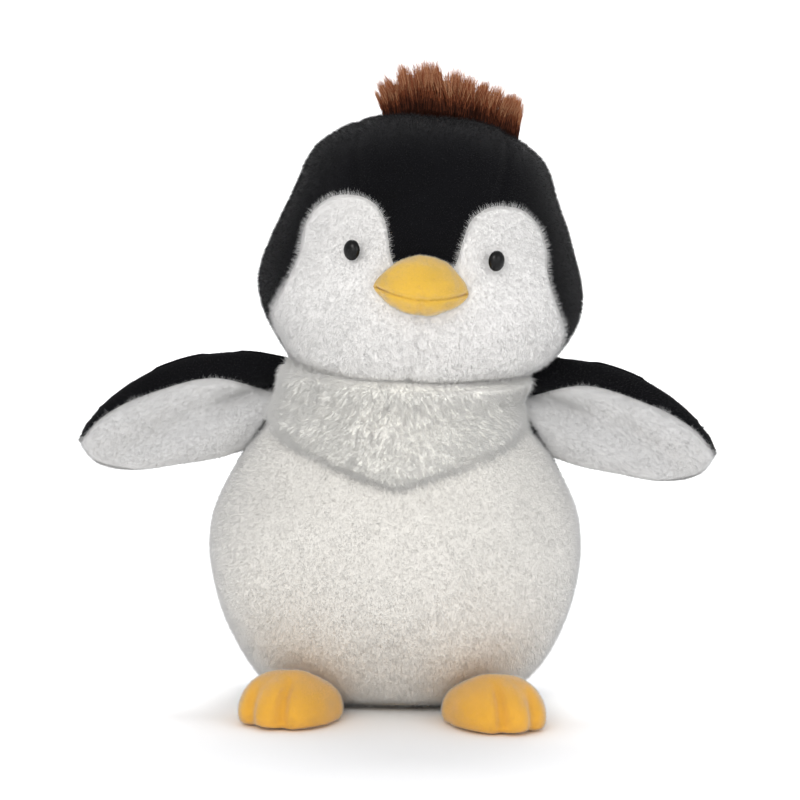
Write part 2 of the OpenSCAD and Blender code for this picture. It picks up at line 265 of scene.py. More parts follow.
# How much each plush's backing and its fibres vary in tone; the gold's wide spread is partly painted
# highlight, the mottled sheen of the beak's velvety pile
BACKING_SPREAD = {"black": 0.3, "orange": 0.14, "gold": 0.2}
FIBRE_SPREAD = {"black": 0.5, "orange": 0.18, "gold": 0.3}
SHEEN = {"black": 0.06, "cream": 0.7}
# How much light passes through each plush's fibres
GLOW = {"black": 0.0}
BACKINGS = {}
TINTS = {}
for plush, shade in COLOURS.items():
    sheen = SHEEN.get(plush, 0.3)
    BACKINGS[plush] = knit_material(f"{plush}_knit", shade, BACKING_SPREAD.get(plush, 0.05), sheen)
    spread = FIBRE_SPREAD.get(plush, 0.03)
    TINTS[plush] = [fibre_material(f"{plush}_pile_{i}", np.minimum(1, np.array(shade) * factor), 0.8,
                                   sheen, GLOW.get(plush, 0.7))
                    for i, factor in enumerate((1 - spread, 1, 1 + spread))]
# The length of the fibres along the edges of some pieces
FRINGES = {"ivory": 3.2, "silver": 2.6}
# Each pile's density per square millimetre, length, radius, lift and untidiness
PILES = {
    "white": (4.2, 2.5, 0.062, 0.62, 0.60),
    "ivory": (4.2, 2.3, 0.062, 0.62, 0.60),
    "silver": (4.2, 2.2, 0.062, 0.60, 0.55),
    "black": (1.7, 2.4, 0.080, 0.62, 0.45),
    "orange": (4.0, 1.3, 0.065, 0.70, 0.60),
    "gold": (5.0, 1.2, 0.065, 0.70, 0.75),
}


# ---- Meshes, in millimetres ----

def add_mesh(name, verts, faces):
    mesh = bpy.data.meshes.new(name)
    mesh.from_pydata([tuple(v) for v in np.asarray(verts) * MM], [], faces)
    mesh.shade_smooth()
    return add_object(name, mesh)


def loft(name, rings):
    """A closed mesh through a stack of rings, with a point closing each end."""
    rings = [np.asarray(ring) for ring in rings]
    columns = len(rings[0])
    ends = [rings[0].mean(axis=0)[None], rings[-1].mean(axis=0)[None]]
    low = len(rings) * columns
    faces = []
    for r in range(len(rings) - 1):
        for c in range(columns):
            n = (c + 1) % columns
            here, above = r * columns, (r + 1) * columns
            faces.append((here + c, here + n, above + n, above + c))
    last = low - columns
    for c in range(columns):
        n = (c + 1) % columns
        faces.append((low, n, c))
        faces.append((low + 1, last + c, last + n))
    return add_mesh(name, np.concatenate(rings + ends), faces)


def sheet_mesh(name, grid):
    """An open sheet through a grid of points."""
    rows, columns = grid.shape[:2]
    faces = [(r * columns + c, r * columns + c + 1, (r + 1) * columns + c + 1, (r + 1) * columns + c)
             for r in range(rows - 1) for c in range(columns - 1)]
    return add_mesh(name, grid.reshape(-1, 3), faces)


def read_threes(items, name, kind=float):
    """Three numbers for each of a mesh's points or faces."""
    flat = np.empty(len(items) * 3, kind)
    items.foreach_get(name, flat)
    return flat.reshape(-1, 3)


def places(obj):
    return read_threes(obj.data.vertices, "co") / MM


def move_to(obj, points):
    obj.data.vertices.foreach_set("co", (points * MM).ravel())
    obj.data.update()


def normals(obj):
    return read_threes(obj.data.vertex_normals, "vector")


def face_centres(obj):
    return read_threes(obj.data.polygons, "center") / MM


def apply_modifiers(obj):
    graph = bpy.context.evaluated_depsgraph_get()
    graph.update()
    mesh = bpy.data.meshes.new_from_object(obj.evaluated_get(graph))
    old = obj.data
    obj.modifiers.clear()
    obj.data = mesh
    bpy.data.meshes.remove(old)


def refine(obj):
    """One level of subdivision."""
    smooth = obj.modifiers.new("smooth", "SUBSURF")
    smooth.levels = 1
    smooth.render_levels = 1
    apply_modifiers(obj)
    obj.data.shade_smooth()


def inflate(obj, held, cap, pressure, frames=20):
    """Blows the form up as cloth, held at its seams. No point moves further than cap."""
    rest = places(obj)
    group = obj.vertex_groups.new(name="held")
    group.add([int(index) for index in np.nonzero(held)[0]], 1.0, "REPLACE")
    cloth = obj.modifiers.new("cloth", "CLOTH")
    values = {"quality": 5, "mass": 0.3, "tension_stiffness": 20, "compression_stiffness": 12,
              "shear_stiffness": 8, "bending_stiffness": 0.4, "use_pressure": True,
              "uniform_pressure_force": pressure, "vertex_group_mass": "held"}
    for name, value in values.items():
        setattr(cloth.settings, name, value)
    cloth.settings.effector_weights.gravity = 0
    cloth.collision_settings.use_self_collision = False
    cloth.point_cache.frame_start = 1
    cloth.point_cache.frame_end = frames
    scene = bpy.context.scene
    for number in range(1, frames + 1):
        scene.frame_set(number)
    apply_modifiers(obj)
    scene.frame_set(1)
    obj.vertex_groups.clear()
    moved = places(obj) - rest
    length = np.linalg.norm(moved, axis=1, keepdims=True)
    moved *= np.minimum(1.0, cap / np.maximum(length, 1e-9))
    move_to(obj, rest + moved)


def stuff(obj, held, cap, pressure, amount, size):
    """Blows a form up, subdivides it and gives it uneven stuffing."""
    inflate(obj, held, cap, pressure)
    refine(obj)
    lumps(obj, amount, size)


def lumps(obj, amount, size):
    points = places(obj)
    height = [noise.noise(Vector(p / size)) for p in points]
    move_to(obj, points + normals(obj) * (amount * np.array(height))[:, None])


def cut_out(obj, name, keep):
    """A new piece from the faces of obj where keep is true, shaded as it was in the whole."""
    used = {}
    faces = [[used.setdefault(v, len(used)) for v in polygon.vertices]
             for polygon in obj.data.polygons if keep[polygon.index]]
    piece = add_mesh(name, places(obj)[list(used)], faces)
    piece.data.normals_split_custom_set_from_vertices([tuple(n) for n in normals(obj)[list(used)]])
    return piece


def mirror(obj):
    """Turns a right-hand form into the left-hand one."""
    points = places(obj)
    points[:, 0] *= -1
    move_to(obj, points)
    obj.data.flip_normals()


# ---- Curves and seams ----

POWER = 2.2


def bump(x, middle, width):
    return np.exp(-((x - middle) / width) ** 2)


def round_ring(angle, half_w, half_d):
    """Points round a full oval, from the front to the right."""
    c, s = np.cos(angle), np.sin(angle)
    x = half_w * np.sign(s) * np.abs(s) ** (2 / POWER)
    y = -half_d * np.sign(c) * np.abs(c) ** (2 / POWER)
    return x, y


def turn_angles(columns):
    return np.linspace(0, 2 * math.pi, columns, endpoint=False)


def smooth_line(at, stops):
    """A smooth curve through stops of (place, value): cubic between them, with no overshoot."""
    x = np.array([s[0] for s in stops], float)
    y = np.array([s[1] for s in stops], float)
    slope = np.diff(y) / np.diff(x)
    tangent = np.concatenate([[slope[0]], (slope[:-1] + slope[1:]) / 2, [slope[-1]]])
    flat = np.concatenate([[False], slope[:-1] * slope[1:] <= 0, [False]])
    tangent[flat] = 0
    at = np.clip(at, x[0], x[-1])
    i = np.clip(np.searchsorted(x, at, side="right") - 1, 0, len(x) - 2)
    h = x[i + 1] - x[i]
    t = (at - x[i]) / h
    return ((2 * t**3 - 3 * t**2 + 1) * y[i] + (t**3 - 2 * t**2 + t) * h * tangent[i]
            + (-2 * t**3 + 3 * t**2) * y[i + 1] + (t**3 - t**2) * h * tangent[i + 1])


def smooth_path(stops, count):
    """Evenly spaced points on a smooth curve through a path's stops."""
    p = np.array(stops, float)
    p = np.concatenate([[2 * p[0] - p[1]], p, [2 * p[-1] - p[-2]]])
    t = np.linspace(0, 1, 16, endpoint=False)[:, None]
    parts = []
    for a, b, c, d in zip(p[:-3], p[1:-2], p[2:-1], p[3:]):
        parts.append(b + (c - a) * t / 2 + (2 * a - 5 * b + 4 * c - d) * t**2 / 2
                     + (3 * b - 3 * c + d - a) * t**3 / 2)
    fine = np.concatenate(parts + [p[-2:-1]])
    along = np.concatenate([[0], np.cumsum(np.linalg.norm(np.diff(fine, axis=0), axis=1))])
    at = np.linspace(0, along[-1], count)
    return np.stack([np.interp(at, along, fine[:, i]) for i in range(fine.shape[1])], axis=1)


def inside_distance(p, outline):
    """How far places in a plane are inside a closed outline; negative outside."""
    start, end = outline, np.roll(outline, -1, axis=0)
    edge = end - start
    nearest = np.full(len(p), 1e9)
    crossings = np.zeros(len(p), int)
    for a, b, e in zip(start, end, edge):
        t = np.clip(((p - a) @ e) / max(e @ e, 1e-9), 0, 1)
        nearest = np.minimum(nearest, np.linalg.norm(p - a - t[:, None] * e, axis=1))
        between = (a[1] > p[:, 1]) != (b[1] > p[:, 1])
        rise = e[1] if abs(e[1]) > 1e-9 else 1e-9
        crossings += between & (p[:, 0] < a[0] + (p[:, 1] - a[1]) / rise * e[0])
    return np.where(crossings % 2 == 1, nearest, -nearest)


def slide_to(obj, measure, chosen):
    """Slides chosen points along the surface on to the edge of what they measure inside."""
    step = 0.25
    most = 1.6
    for _ in range(3):
        points = places(obj)
        here = measure(points[chosen])
        slope = np.stack([(measure(points[chosen] + step * axis) - here) / step for axis in np.eye(3)],
                         axis=1)
        outward = normals(obj)[chosen]
        slope -= outward * (slope * outward).sum(axis=1, keepdims=True)
        size = np.maximum((slope**2).sum(axis=1, keepdims=True), 0.2)
        points[chosen] -= np.clip(slope * here[:, None] / size, -most, most)
        move_to(obj, points)


def split_at(obj, measure):
    """Which faces lie inside an edge, once the points between its two sides are slid on to it."""
    slide_to(obj, measure, np.abs(measure(places(obj))) < 0.9)
    inside = measure(face_centres(obj)) > 0
    touches = np.zeros((2, len(obj.data.vertices)), bool)
    for polygon, within in zip(obj.data.polygons, inside):
        touches[int(within), list(polygon.vertices)] = True
    slide_to(obj, measure, touches.all(axis=0))
    return inside


def sink(obj, distance, depth, width):
    """Draws a seam or a dimple into a form, given each point's distance from its line."""
    move_to(obj, places(obj) - normals(obj) * (depth * bump(distance, 0, width))[:, None])


# ---- Pile ----

# The most fibres in one piece of pile
MOST = 48000
# How deep the fibres' roots are set
ROOT_DEPTH = 0.25


def scatter(obj, density, rng):
    """Random places on a piece, per square millimetre, with the surface's direction at each."""
    mesh = obj.data
    mesh.calc_loop_triangles()
    corners = read_threes(mesh.loop_triangles, "vertices", int)
    points, outward = places(obj), normals(obj)
    a, b, c = (points[corners[:, i]] for i in range(3))
    area = np.linalg.norm(np.cross(b - a, c - a), axis=1) / 2
    total = int(area.sum() * density)
    chosen = rng.choice(len(corners), total, p=area / area.sum())
    u, v = rng.random(total), rng.random(total)
    over = u + v > 1
    u[over], v[over] = 1 - u[over], 1 - v[over]
    share = np.stack([1 - u - v, u, v], axis=1)[:, :, None]
    place = (points[corners[chosen]] * share).sum(axis=1)
    normal = (outward[corners[chosen]] * share).sum(axis=1)
    normal /= np.linalg.norm(normal, axis=1, keepdims=True)
    return place, normal


def spikes(name, root, reach, radius, levels, tints, tint, droop=None, fabric=None):
    """Tapered fibres as closed three-sided spikes: root and reach are places and directions.

    Fibres given the fabric's normals are shaded mostly by them, as light scatters in a soft pile.
    """
    count = len(root)
    along = reach / np.linalg.norm(reach, axis=1, keepdims=True)
    side = np.cross(along, np.where(np.abs(along[:, 2:3]) > 0.9, [[1.0, 0, 0]], [[0, 0, 1.0]]))
    side /= np.linalg.norm(side, axis=1, keepdims=True)
    other = np.cross(along, side)
    droop = np.zeros_like(reach) if droop is None else droop
    rows = []
    for level in range(levels):
        t = level / levels
        centre = root + reach * t + droop * t * t
        wide = radius * (1 - t) ** 0.6
        for corner in range(3):
            angle = 2 * math.pi * corner / 3
            rows.append(centre + (side * math.cos(angle) + other * math.sin(angle)) * wide)
    rows.append(root + reach + droop)
    per = 3 * levels + 1
    first = (np.arange(count) * per)[:, None]
    quads = [[level * 3 + corner, level * 3 + (corner + 1) % 3,
              level * 3 + 3 + (corner + 1) % 3, level * 3 + 3 + corner]
             for level in range(levels - 1) for corner in range(3)]
    last = (levels - 1) * 3
    tris = [[last + corner, last + (corner + 1) % 3, per - 1] for corner in range(3)] + [[2, 1, 0]]
    corners = [(first[:, :, None] + np.array(shape, int).reshape(-1, sides)).reshape(-1)
               for shape, sides in ((quads, 4), (tris, 3))]
    loops = np.concatenate(corners)
    quad_end = len(corners[0])
    starts = np.concatenate([np.arange(0, quad_end, 4), np.arange(quad_end, len(loops), 3)])
    mesh = bpy.data.meshes.new(name)
    mesh.vertices.add(count * per)
    mesh.vertices.foreach_set("co", (np.stack(rows, axis=1) * MM).ravel())
    mesh.loops.add(len(loops))
    mesh.loops.foreach_set("vertex_index", loops)
    mesh.polygons.add(len(starts))
    mesh.polygons.foreach_set("loop_start", starts)
    slots = np.concatenate([np.repeat(tint, len(quads)), np.repeat(tint, len(tris))])
    mesh.polygons.foreach_set("material_index", slots.astype(np.int32))
    mesh.update(calc_edges=True)
    mesh.shade_smooth()
    for material in tints:
        mesh.materials.append(material)
    obj = add_object(name, mesh)
    if fabric is not None:
        shading = unit(normals(obj) * 0.35 + np.repeat(fabric, per, axis=0))
        mesh.normals_split_custom_set_from_vertices(shading.tolist())
    return obj


def unit(v):
    return v / np.maximum(np.linalg.norm(v, axis=1, keepdims=True), 1e-6)


def add_pile(piece, colour, seed, comb, where=None, lift=None):
    """Grows a piece's pile: fibres that stand off the fabric and lie over as they are combed."""
    rng = np.random.default_rng(seed)
    density, length, radius, usual_lift, mess = PILES[colour]
    lift = usual_lift if lift is None else lift
    root, normal = scatter(piece, density, rng)
    if where is not None:
        kept = where(root)
        root, normal = root[kept], normal[kept]
    count = len(root)
    lay = np.tile(np.array(comb, float), (count, 1))
    lay = unit(lay - normal * (lay * normal).sum(axis=1, keepdims=True))
    direction = unit(normal * lift + lay * (1 - lift) + rng.normal(0, mess * 0.5, (count, 3)))
    inward = (direction * normal).sum(axis=1, keepdims=True)
    direction += normal * np.maximum(0, 0.25 - inward)
    reach = direction * (length * rng.uniform(0.55, 1.15, (count, 1)))
    # Patches of lighter and darker tint over the surface: partly tone that varies, partly painted sheen,
    # the mottled highlights of a velvety pile
    mottle_and_sheen = np.array([noise.noise(Vector(p / 7)) for p in root])
    tint = np.clip(np.round(1 + 1.8 * mottle_and_sheen + rng.normal(0, 0.6, count)), 0, 2).astype(int)
    root -= normal * ROOT_DEPTH
    parts = math.ceil(count / MOST)
    piles = []
    for i in range(parts):
        fabric = None if colour == "black" else normal[i::parts]
        piles.append(spikes(f"{piece.name}_pile_{i}", root[i::parts], reach[i::parts], radius, 1,
                            TINTS[colour], tint[i::parts], fabric=fabric))
    return piles


def open_edges(obj):
    """A piece's open edges, as the two points of each and the face beside it."""
    beside = {}
    for polygon in obj.data.polygons:
        for key in polygon.edge_keys:
            beside.setdefault(key, []).append(polygon.index)
    return np.array([(*key, faces[0]) for key, faces in beside.items() if len(faces) == 1]).T


def add_fringe(piece, colour, seed, length, per_mm=12, toward=(0, 0, 0)):
    """Longer fibres along a piece's edge, which lean out over the next fabric.

    They are shaded as if the fabric turned toward a direction.
    """
    rng = np.random.default_rng(seed)
    points, outward = places(piece), normals(piece)
    first, second, face = open_edges(piece)
    along = points[second] - points[first]
    size = np.linalg.norm(along, axis=1)
    normal = unit(outward[first] + outward[second])
    across = (points[first] + points[second]) / 2 - face_centres(piece)[face]
    across -= along * ((across * along).sum(axis=1) / size**2)[:, None]
    across = unit(across - normal * (across * normal).sum(axis=1, keepdims=True))
    count = int(size.sum() * per_mm)
    chosen = rng.choice(len(size), count, p=size / size.sum())
    across, normal = across[chosen], normal[chosen]
    root = points[first][chosen] + along[chosen] * rng.random((count, 1))
    root -= across * rng.uniform(0, 1.8, (count, 1)) + normal * ROOT_DEPTH
    outward = normal * 0.8 + across * rng.uniform(0.2, 0.9, (count, 1))
    direction = unit(outward + rng.normal(0, 0.3, (count, 3)))
    reach = direction * (length * rng.uniform(0.5, 1.2, (count, 1)))
    droop = (across * 0.2 - normal * 0.15) * length
    return spikes(f"{piece.name}_fringe", root, reach, 0.06, 2, TINTS[colour], rng.choice(3, count),
                  droop, unit(normal + toward))


def dress(piece, colour):
    piece.data.materials.clear()
    piece.data.materials.append(BACKINGS[colour])


def settle(piece, piles, hold, nodes):
    """Passes a padded piece and its pile to hold, and hides the CAD solids they replace."""
    for part in (piece, *piles):
        hold(part)
    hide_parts(*nodes)


def finish_piece(piece, colour, nodes, hold, fill, seed, comb, **pile):
    """Grows a padded piece's pile and fringe, and settles them. The base has a bare fabric."""
    dress(piece, colour)
    piles = [] if piece.name == "base_skin" else add_pile(piece, colour, seed, comb, **pile)
    if colour in FRINGES:
        piles.append(add_fringe(piece, colour, seed + 100, FRINGES[colour]))
    settle(piece, piles, hold, nodes)


# ---- Head ----

def sit(p):
    """Places near the head, moved to where it rests: leaning, aside, with a low chin."""
    rise = p[:, 2] - NECK_Z
    t = np.clip((rise + 12) / 26, 0, 1)
    share = t * t * (3 - 2 * t)
    c, s = np.cos(HEAD_LEAN * share), np.sin(HEAD_LEAN * share)
    chin = 3.0 * np.clip(-p[:, 1] / 45, 0, 1) * bump(rise, 0, 18)
    return np.stack([p[:, 0] * c + rise * s + HEAD_SHIFT * share, p[:, 1],
                     NECK_Z + rise * c - p[:, 0] * s - chin], axis=1)


# The drawn head's half-width at heights above the neck, from the neck over the cheeks to the crown
HEAD_OUTLINE = [(52.5, 0.5), (55, 4), (61.5, 10), (68.5, 19), (72.8, 28), (74.5, 38), (73.4, 47),
                (70.5, 56), (67.3, 65), (64, 74), (60.5, 83), (54.5, 97), (46.5, 106), (35, 113),
                (18, 117.3), (0, 118)]
HEAD_DRAWN = 74.0
# The right half of the white face, from behind the beak round the patch over the eye to the chin,
# across and above the head's middle
FACE_OUTLINE = [(0, 7), (8, 11), (14.2, 19), (16.6, 29), (19.6, 38), (26, 44), (34, 45.6), (43, 44),
                (50.5, 37.5), (54.6, 28), (55.6, 18), (58.5, 9), (62.5, 0), (66, -8), (65.5, -16),
                (60, -25), (53, -31), (50, -37), (0, -42)]
FACE_EDGE = smooth_path(FACE_OUTLINE, 110)
FACE_EDGE = np.concatenate([FACE_EDGE[:-1], (FACE_EDGE * [-1, 1])[:0:-1]]) + [0, HEAD_MID]


def white_face(p):
    """How far inside the white face a place on the head is; negative outside."""
    return np.where(p[:, 1] > 8, -20.0, inside_distance(p[:, [0, 2]], FACE_EDGE))


def outline_rings(outline, foot, scale, depth, columns, rows):
    """Rings of a stuffed form whose half-widths follow an outline from a foot's height."""
    angle = turn_angles(columns)
    rings = []
    for half, height in smooth_path(outline, rows)[:-1]:
        small = min(PILE, half * 0.5)
        x, y = round_ring(angle, half * scale - small, half * scale * depth - small)
        rings.append(np.stack([x, y, np.full(columns, foot + height)], axis=1))
    return rings


def crown_seam(p):
    """Distance from the two seams that run over the head beside the crown panel."""
    behind = np.degrees(np.arctan2(p[:, 2] - HEAD_MID, -p[:, 1])) % 360
    half = smooth_line(behind, [(40, 30), (60, 34), (90, 34), (130, 30), (180, 24), (230, 19)])
    return np.where((behind > 45) & (behind < 235), np.abs(p[:, 0]) - half, 99)


def make_head():
    form = loft("head_form", outline_rings(HEAD_OUTLINE, NECK_Z, HEAD_HALF_W / HEAD_DRAWN,
                                           HEAD_HALF_D / HEAD_HALF_W, 96, 52))
    points = places(form)
    points[-1] = (0, 0, HEAD_TOP - PILE)
    points[:, 2] = np.minimum(points[:, 2], HEAD_TOP - PILE)
    move_to(form, points)
    chin = (np.abs(points[:, 0]) < 1) & (points[:, 1] < 0) & (points[:, 2] < HEAD_MID)
    seams = np.minimum(np.abs(white_face(points)), np.abs(crown_seam(points)))
    stuff(form, (points[:, 2] < NECK_Z + 3) | (seams < 1.8) | chin, 1.6, 4.0, 1.2, 26)
    points = places(form)
    chin = (points[:, 1] < 0) & (points[:, 2] < HEAD_MID + 4)
    sink(form, np.where(chin, points[:, 0], 99), 0.9, 2.0)
    sink(form, crown_seam(places(form)), 0.9, 1.6)
    points = places(form)
    eye_gap = np.hypot(np.abs(points[:, 0]) - EYE_X, points[:, 2] - EYE_Z)
    sink(form, np.where(points[:, 1] > 0, 99, eye_gap), 1.3, 5.0)
    white = split_at(form, white_face)
    centre = face_centres(form)
    move_to(form, sit(places(form)))
    whole = cut_out(form, "face", white)
    fringe = add_fringe(whole, "white", SEED + 100, 3.2)
    bpy.data.objects.remove(whole)
    ride_head(fringe)
    pieces = [
        (cut_out(form, "face_left_skin", white & (centre[:, 0] < 0)), "white", ["face_left"]),
        (cut_out(form, "face_right_skin", white & (centre[:, 0] >= 0)), "white", ["face_right"]),
        (cut_out(form, "crown_skin", ~white), "black",
         ["crown_panel", "head_side_left", "head_side_right", "head_stuffing"]),
    ]
    bpy.data.objects.remove(form)
    return pieces


# ---- Body ----

# The drawn body's half-width at heights above the ground, up to a collar inside the head
BODY_OUTLINE = [(40, 0.3), (47, 1.0), (54, 4), (62, 11), (69, 20), (75.5, 31), (81, 44), (84.5, 58),
                (85.5, 72), (83, 88), (77.5, 102), (71.5, 114), (64, 126), (57.5, 137), (54, 145),
                (52.5, 151), (50, 155), (43, 160)]
BODY_DRAWN = 84.0
# The feet hold the front of the base this far off the ground
FRONT_LIFT = 5.5


def belly_edge(p):
    """How far a place on the body is in front of the side seams."""
    angle = np.degrees(np.arctan2(np.abs(p[:, 0]), -p[:, 1] * BODY_HALF_W / BODY_HALF_D))
    seam = smooth_line(p[:, 2], [(0, 98), (98, 96), (114, 86), (128, 72), (140, 62), (NECK_Z, 60)])
    return (seam - angle) * 1.2


def body_half(z):
    """The body's half-width at a height."""
    return np.interp(z, [stop[1] for stop in BODY_OUTLINE], [stop[0] for stop in BODY_OUTLINE])


def make_body():
    outline = BODY_OUTLINE + [(42, 161)]
    form = loft("body_form", outline_rings(outline, 0, BODY_HALF_W / BODY_DRAWN,
                                           BODY_HALF_D / BODY_HALF_W, 96, 56))
    points = places(form)
    held = (points[:, 2] < 3) | (points[:, 2] > NECK_Z - 3) | (np.abs(belly_edge(points)) < 2)
    held |= (np.abs(points[:, 0]) < 1) & (points[:, 1] > 0)
    stuff(form, held, 2.0, 4.0, 1.4, 34)
    points = places(form)
    sink(form, np.where(points[:, 1] > 0, points[:, 0], 99), 1.2, 2.5)
    sink(form, belly_edge(places(form)), 1.0, 2.5)
    points = places(form)
    points[:, 2] = np.maximum(points[:, 2], 0.3)
    move_to(form, points)
    front = split_at(form, belly_edge)
    centre = face_centres(form)
    under = centre[:, 2] < 0.45
    belly = front & ~under
    back = ~belly & ~under
    points = places(form)
    forward = np.clip(-points[:, 1] / 50, 0, 1) ** 1.5
    points[:, 2] += FRONT_LIFT * forward * np.clip(1 - points[:, 2] / 50, 0, 1)
    move_to(form, sit(points))
    pieces = [
        (cut_out(form, "belly_skin", belly), "ivory",
         ["belly_panel", "body_stuffing", "neck_stuffing"]),
        (cut_out(form, "back_left_skin", back & (centre[:, 0] < 0)), "black", ["back_left"]),
        (cut_out(form, "back_right_skin", back & (centre[:, 0] >= 0)), "black", ["back_right"]),
        (cut_out(form, "base_skin", under), "black", ["base_panel"]),
    ]
    bpy.data.objects.remove(form)
    return pieces


def ride_head(piece):
    """Bakes a head piece's placement into its mesh."""
    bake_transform(piece)


def ride_chest(piece):
    """Bakes a body piece's placement into its mesh."""
    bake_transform(piece)


# ---- Chest ruff ----

LOCKS = 420
# The heights of the bib's lower edge in the middle and at its sides, its reach round the body in
# degrees, and its least half-width
RUFF_TIP = 105.0
RUFF_SIDE = 136.0
RUFF_ANGLE = 84.0
RUFF_LEAST_W = 55.5
# The bib's fibres lie over one another and catch the light from the front and above
RUFF_FACING = (0, -0.7, 0.25)
# How far the bib stands off the chest at fractions of the way up from its edge
RUFF_RISE = [(0, 0), (0.12, 1.6), (0.3, 2.6), (0.6, 3.6), (0.85, 4.4), (0.95, 3.2), (1, 0.4)]


def make_ruff():
    """The long-pile bib: a shallow second layer over the chest whose lower edge is a V."""
    across = np.linspace(-1, 1, 81)
    grid = []
    for t in np.linspace(0, 1, 28):
        low = RUFF_TIP + (RUFF_SIDE - RUFF_TIP) * np.abs(across) ** 0.92
        z = low + (NECK_Z + 2 - low) * t
        rise = smooth_line(t, RUFF_RISE) * (1 - np.abs(across) ** 16)
        half = np.maximum(body_half(z) * BODY_HALF_W / BODY_DRAWN, RUFF_LEAST_W)
        x, y = round_ring(np.radians(across * RUFF_ANGLE), half - PILE + rise,
                          half * BODY_HALF_D / BODY_HALF_W - PILE + rise)
        grid.append(np.stack([x, y, z], axis=1))
    sheet = sheet_mesh("ruff_skin", np.array(grid))
    lumps(sheet, 0.9, 14)
    move_to(sheet, sit(places(sheet)))
    return sheet


def ruff_fibres(piece, side, rng):
    """Soft fluffy pile in locks: the fibres of a lock lean together."""
    density, usual_length = 4.4, 4.4
    root, normal = scatter(piece, density, rng)
    kept = root[:, 0] * side >= 0
    root, normal = root[kept], normal[kept]
    count = len(root)
    locks = root[rng.choice(count, LOCKS, replace=False)]
    nearest = np.concatenate([((part[:, None] - locks[None]) ** 2).sum(axis=2).argmin(axis=1)
                              for part in np.array_split(root, 30)])
    lock_lean = rng.normal(0, 0.10, (LOCKS, 3))[nearest]
    lock_long = rng.uniform(0.85, 1.1, (LOCKS, 1))[nearest]
    spread = np.stack([root[:, 0] / 55, np.full(count, -0.2), np.full(count, -0.75)], axis=1)
    lay = unit(spread - normal * (spread * normal).sum(axis=1, keepdims=True))
    length = usual_length * lock_long * rng.uniform(0.55, 1.1, (count, 1))
    direction = unit(normal * 0.55 + lay * 0.4 + lock_lean + rng.normal(0, 0.2, (count, 3)))
    direction += normal * np.maximum(0, 0.2 - (direction * normal).sum(axis=1, keepdims=True))
    droop = (lay * 0.25 - normal * 0.15) * length + (locks[nearest] - root) * 0.05
    tint = rng.choice(3, count, p=[0.3, 0.4, 0.3])
    name = "right" if side > 0 else "left"
    return spikes(f"ruff_{name}_pile", root - normal * 0.3, direction * length, 0.075, 2,
                  TINTS["cream"], tint, droop, unit(normal + RUFF_FACING))


def build_ruff():
    piece = make_ruff()
    dress(piece, "cream")
    piles = [ruff_fibres(piece, side, np.random.default_rng(SEED + 30 + side)) for side in (-1, 1)]
    piles.append(add_fringe(piece, "cream", SEED + 130, 6.0, 16, RUFF_FACING))
    settle(piece, piles, ride_chest, ["chest_ruff"])


# ---- Wings ----

WING_IN = 50.0
WING_TIP = 146.5
WING_HALF = 25.5
WING_THICK = 8.0
WING_MIDDLE = [(0, 138), (0.2, 137), (0.4, 133.5), (0.6, 129), (0.75, 124.5), (0.9, 119.5), (1, 117)]
# The front panel's upper edge, as a fraction of the way up from the wing's middle
WING_SEAM = [(0, 0.1), (0.12, 0.2), (0.24, 0.4), (0.36, 0.54), (0.65, 0.56), (0.85, 0.6), (0.95, 0.5),
             (1, 0.2)]


def wing_part(x):
    """How far along a wing a place is, from 0 at its root to 1 at its tip."""
    return np.clip((x - WING_IN) / (WING_TIP - WING_IN), 0, 0.999)


def wing_half(u):
    taper = (1 - (0.97 * u) ** 4.5) ** 0.72 * (1 - u**36) ** 0.5
    return WING_HALF * taper * (0.74 + 0.26 * np.sin(np.minimum(u / 0.5, 1) * math.pi / 2))


def wing_ring(u, columns):
    """Round a wing, from its upper edge over the front."""
    angle = turn_angles(columns)
    half = max(0.4, wing_half(u) - PILE * 0.6)
    thick = WING_THICK * (half / WING_HALF) ** 0.5 * (1.0 - 0.1 * u)
    x = np.full(columns, WING_IN + u * (WING_TIP - WING_IN))
    y = -thick * np.sign(np.sin(angle)) * np.abs(np.sin(angle)) ** 1.2
    z = smooth_line(u, WING_MIDDLE) + half * np.cos(angle)
    return np.stack([x, y, z], axis=1)


def wing_front(p):
    """How far inside the white front panel, which wraps under the lower edge, a place is."""
    u = wing_part(p[:, 0])
    middle = smooth_line(u, WING_MIDDLE)
    below_seam = middle + wing_half(u) * smooth_line(u, WING_SEAM) - p[:, 2]
    above = np.where(p[:, 1] < 0, below_seam, -2 * np.abs(p[:, 1]) - 0.01)
    return np.where(p[:, 2] < middle, np.minimum(below_seam, 2 - p[:, 1]), above)


def make_wing():
    stations = 0.5 - 0.5 * np.cos(np.linspace(0.1, math.pi - 0.09, 38))
    form = loft("wing_form", [wing_ring(u, 48) for u in stations])
    points = places(form)
    seam = (np.abs(wing_front(points)) < 1.2) & (points[:, 1] < 0)
    held = seam | (np.abs(points[:, 1]) < 0.3) | (points[:, 0] < WING_IN + 8)
    stuff(form, held, 2.2, 3.0, 0.5, 18)
    points = places(form)
    sink(form, np.where(points[:, 1] < 0, wing_front(points), 99), 0.8, 1.6)
    front = split_at(form, wing_front)
    crease(form)
    return form, front


def crease(form):
    """The soft fold down a wing's front, narrow and deep at the root, broad and shallow outwards."""
    points = places(form)
    u = wing_part(points[:, 0])
    across = points[:, 2] - (smooth_line(u, WING_MIDDLE) + 7 - 21 * u)
    broad = 5.0 * smooth_line(u, [(0, 0.8), (0.5, 1), (0.8, 0.7), (1, 0)]) * bump(across, 0, 6 + 5 * u)
    sharp = 3.2 * smooth_line(u, [(0, 1), (0.25, 1), (0.45, 0), (1, 0)]) * bump(across, 1, 2.2)
    points[:, 1] += np.where(points[:, 1] < 0, broad + sharp, 0)
    points[:, 1] -= np.where(points[:, 1] < 0, 1.2 * bump(across, 9, 5) * (1 - u), 0)
    move_to(form, points)


